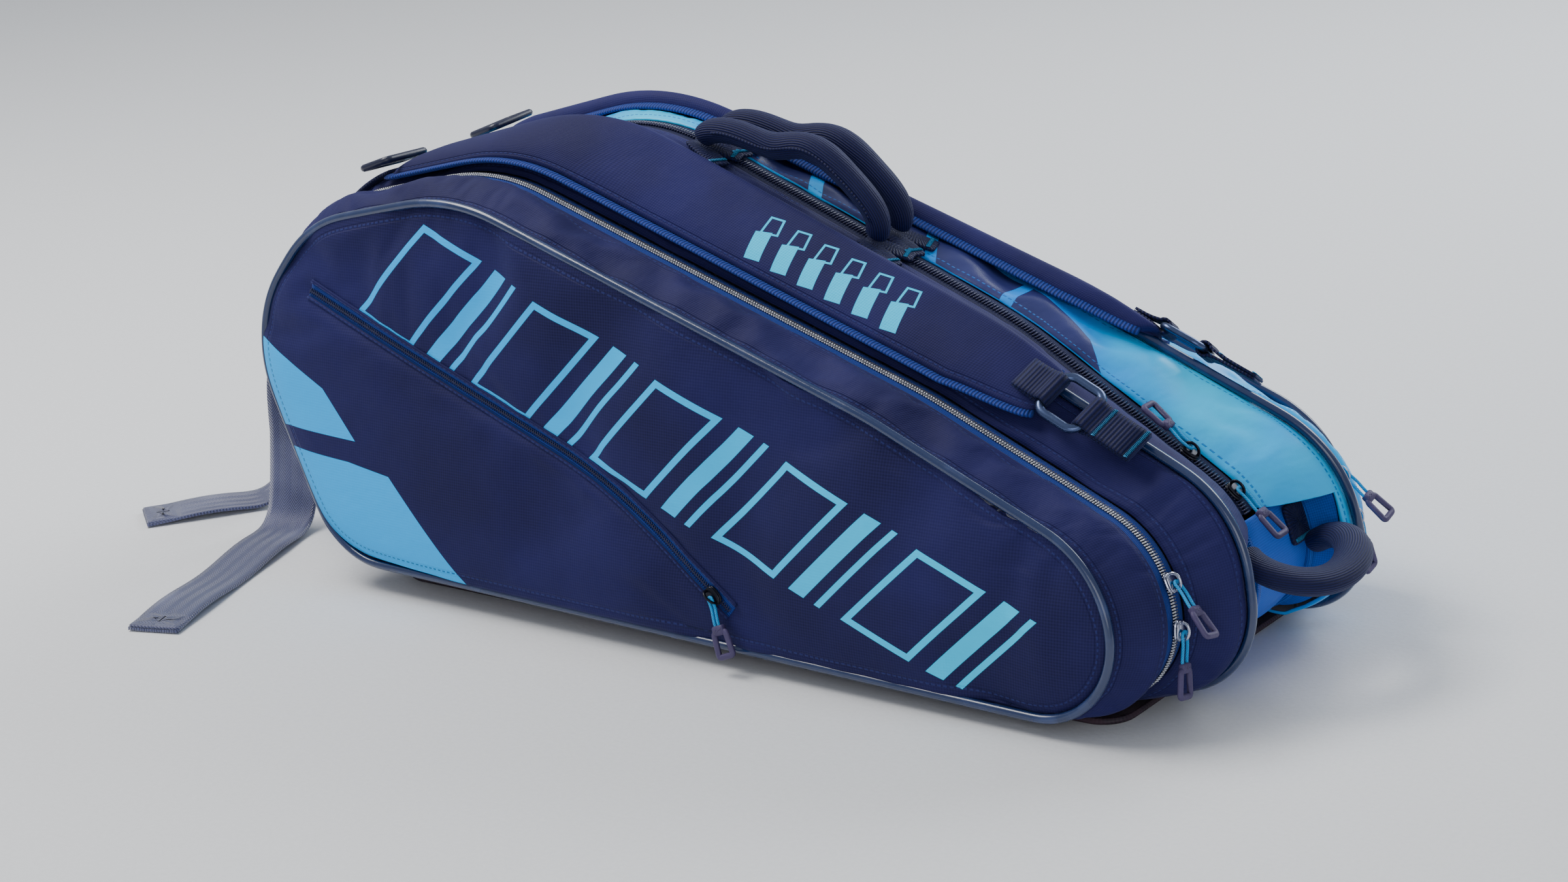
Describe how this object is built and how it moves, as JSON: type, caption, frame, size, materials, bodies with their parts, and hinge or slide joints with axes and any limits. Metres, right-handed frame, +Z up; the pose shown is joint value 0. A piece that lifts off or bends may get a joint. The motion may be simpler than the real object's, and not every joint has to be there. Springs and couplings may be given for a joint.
{
  "type": "racket bag",
  "caption": "Long padded tennis racket bag with three zipped compartments, a front pocket, rolled carry handles, shoulder straps and an end handle, standing on its base.",
  "frame": {"origin": "on the ground under the middle of the base panel", "axes": "+X along the bag to the narrow end with the end handle, -Y to the side with the pocket, +Z up"},
  "size_m": [0.9555, 0.4465, 0.3275],
  "materials": {
    "navy_fabric": "fine grid weave, matt",
    "blue_coated_fabric": "smooth coated, slightly glossy",
    "base_fabric": "coarse coated weave",
    "board": "sheet",
    "webbing": "ribbed webbing",
    "foam": "closed-cell foam",
    "lining": "padded lining",
    "piping": "glossy coated cord",
    "silver_zip": "silver coil on a blue tape",
    "navy_zip": "navy coil on a navy tape",
    "ring_metal": "dark satin",
    "buckle_plastic": "moulded",
    "silver_slider": "bright",
    "black_slider": "satin black",
    "pull_rubber": "soft rubber on a cyan cord"
  },
  "bodies": {
    "root": {"base_panel": "base_fabric", "base_board": "board", "end_gusset": "blue_coated_fabric", "end_handle_feet": "webbing", "webbing_tails": "webbing"},
    "near_half": {"near_base_strip": "navy_fabric", "near_body_zip_tape": "silver_zip", "near_middle_band": "navy_fabric", "near_divider": "lining", "near_divider_piping": "piping", "near_centre_band": "navy_fabric", "near_centre_zip_tape": "navy_zip", "near_handle_feet": "webbing", "near_ring_tab": "webbing", "near_lower_webbing": "webbing"},
    "near_lid": {"near_side_panel": "navy_fabric", "near_panel_foam": "foam", "near_panel_piping": "piping", "near_outer_band": "navy_fabric", "near_lid_zip_tape": "silver_zip", "pocket_panel": "navy_fabric", "pocket_zip": "navy_zip"},
    "near_handle": {"near_carry_handle": "webbing"},
    "near_strap": {"near_strap_pad": "navy_fabric", "near_strap_ring": "ring_metal", "near_strap_adjuster": "buckle_plastic"},
    "far_half": {"far_base_strip": "blue_coated_fabric", "far_body_zip_tape": "silver_zip", "far_middle_band": "blue_coated_fabric", "far_divider": "lining", "far_divider_piping": "piping", "far_centre_band": "blue_coated_fabric", "far_centre_zip_tape": "navy_zip", "far_handle_feet": "webbing", "far_ring_tab": "webbing", "far_lower_webbing": "webbing"},
    "far_lid": {"far_side_panel": "blue_coated_fabric", "far_panel_foam": "foam", "far_panel_piping": "piping", "far_outer_band": "blue_coated_fabric", "far_lid_zip_tape": "silver_zip"},
    "far_handle": {"far_carry_handle": "webbing"},
    "far_strap": {"far_strap_pad": "navy_fabric", "far_strap_ring": "ring_metal", "far_strap_adjuster": "buckle_plastic"},
    "end_handle": {"end_handle": "webbing"},
    "near_upper_slider": {"near_upper_slider": "silver_slider"},
    "near_upper_pull": {"near_upper_pull": "pull_rubber"},
    "near_lower_slider": {"near_lower_slider": "silver_slider"},
    "near_lower_pull": {"near_lower_pull": "pull_rubber"},
    "centre_upper_slider": {"centre_upper_slider": "black_slider"},
    "centre_upper_pull": {"centre_upper_pull": "pull_rubber"},
    "centre_lower_slider": {"centre_lower_slider": "black_slider"},
    "centre_lower_pull": {"centre_lower_pull": "pull_rubber"},
    "pocket_slider": {"pocket_slider": "black_slider"},
    "pocket_pull": {"pocket_pull": "pull_rubber"},
    "far_upper_slider": {"far_upper_slider": "silver_slider"},
    "far_upper_pull": {"far_upper_pull": "pull_rubber"},
    "far_lower_slider": {"far_lower_slider": "silver_slider"},
    "far_lower_pull": {"far_lower_pull": "pull_rubber"}
  },
  "joints": [
    {"name": "near_half_open", "type": "hinge", "parent": "root", "child": "near_half", "pos_m": [0, -0.15, 0.004], "axis": [1, 0, 0], "range_deg": [0, 9]},
    {"name": "far_half_open", "type": "hinge", "parent": "root", "child": "far_half", "pos_m": [0, 0.15, 0.004], "axis": [-1, 0, 0], "range_deg": [0, 9]},
    {"name": "near_lid_open", "type": "hinge", "parent": "near_half", "child": "near_lid", "pos_m": [0, -0.155, 0.014], "axis": [1, 0, 0], "range_deg": [0, 60]},
    {"name": "far_lid_open", "type": "hinge", "parent": "far_half", "child": "far_lid", "pos_m": [0, 0.155, 0.014], "axis": [-1, 0, 0], "range_deg": [0, 60]},
    {"name": "near_handle_sway", "type": "hinge", "parent": "near_half", "child": "near_handle", "pos_m": [-0.03, -0.013, 0.31349], "axis": [0.9286, 0, -0.3712], "range_deg": [-2, 6]},
    {"name": "far_handle_sway", "type": "hinge", "parent": "far_half", "child": "far_handle", "pos_m": [-0.03, 0.013, 0.31349], "axis": [-0.9286, 0, 0.3712], "range_deg": [-2, 6]},
    {"name": "end_handle_swing", "type": "hinge", "parent": "root", "child": "end_handle", "pos_m": [0.3909, 0, 0.088], "axis": [0, -1, 0], "range_deg": [-15, 40]},
    {"name": "near_strap_lift", "type": "hinge", "parent": "near_half", "child": "near_strap", "pos_m": [0.3035, -0.07111, 0.17612], "axis": [0.2468, 0.8497, 0.466], "range_deg": [0, 8]},
    {"name": "far_strap_lift", "type": "hinge", "parent": "far_half", "child": "far_strap", "pos_m": [0.3035, 0.07111, 0.17612], "axis": [-0.2468, 0.8497, -0.466], "range_deg": [0, 8]},
    {"name": "near_upper_slider_run", "type": "slide", "parent": "near_half", "child": "near_upper_slider", "axis": [-0.4327, 0.1372, 0.8911], "range_m": [0, 0.02]},
    {"name": "near_upper_pull_swing", "type": "hinge", "parent": "near_upper_slider", "child": "near_upper_pull", "pos_m": [0.37985, -0.10644, 0.09453], "axis": [-0.0377, -0.9726, 0.2293], "range_deg": [0, 55]},
    {"name": "far_upper_slider_run", "type": "slide", "parent": "far_half", "child": "far_upper_slider", "axis": [-0.4327, -0.1372, 0.8911], "range_m": [0, 0.02]},
    {"name": "far_upper_pull_swing", "type": "hinge", "parent": "far_upper_slider", "child": "far_upper_pull", "pos_m": [0.37985, 0.10644, 0.09453], "axis": [0.0377, -0.9726, -0.2293], "range_deg": [0, 55]},
    {"name": "near_lower_slider_run", "type": "slide", "parent": "near_half", "child": "near_lower_slider", "axis": [-0.0289, 0.1521, 0.9879], "range_m": [-0.012, 0]},
    {"name": "near_lower_pull_swing", "type": "hinge", "parent": "near_lower_slider", "child": "near_lower_pull", "pos_m": [0.38743, -0.11089, 0.06564], "axis": [-0.002, -0.9753, 0.2208], "range_deg": [0, 60]},
    {"name": "far_lower_slider_run", "type": "slide", "parent": "far_half", "child": "far_lower_slider", "axis": [-0.0289, -0.1521, 0.9879], "range_m": [-0.012, 0]},
    {"name": "far_lower_pull_swing", "type": "hinge", "parent": "far_lower_slider", "child": "far_lower_pull", "pos_m": [0.38743, 0.11089, 0.06564], "axis": [0.002, -0.9753, -0.2208], "range_deg": [0, 60]},
    {"name": "centre_upper_slider_run", "type": "slide", "parent": "near_half", "child": "centre_upper_slider", "axis": [-0.8555, 0, 0.5178], "range_m": [0, 0.04]},
    {"name": "centre_upper_pull_swing", "type": "hinge", "parent": "centre_upper_slider", "child": "centre_upper_pull", "pos_m": [0.33202, 0, 0.13759], "axis": [0, 1, 0], "range_deg": [0, 60]},
    {"name": "centre_lower_slider_run", "type": "slide", "parent": "near_half", "child": "centre_lower_slider", "axis": [-0.7274, 0, 0.6863], "range_m": [0, 0.01]},
    {"name": "centre_lower_pull_swing", "type": "hinge", "parent": "centre_lower_slider", "child": "centre_lower_pull", "pos_m": [0.36333, 0, 0.11666], "axis": [0, -1, 0], "range_deg": [0, 15]},
    {"name": "pocket_slider_run", "type": "slide", "parent": "near_lid", "child": "pocket_slider", "axis": [-0.7899, 0.0701, 0.6093], "range_m": [0, 0.06]},
    {"name": "pocket_pull_swing", "type": "hinge", "parent": "pocket_slider", "child": "pocket_pull", "pos_m": [0.06894, -0.15949, 0.04931], "axis": [-0.9261, -0.0431, -0.3749], "range_deg": [0, 60]}
  ],
  "couplings": [
    {"joint": "far_half_open", "follows": "near_half_open", "ratio": 1}
  ]
}
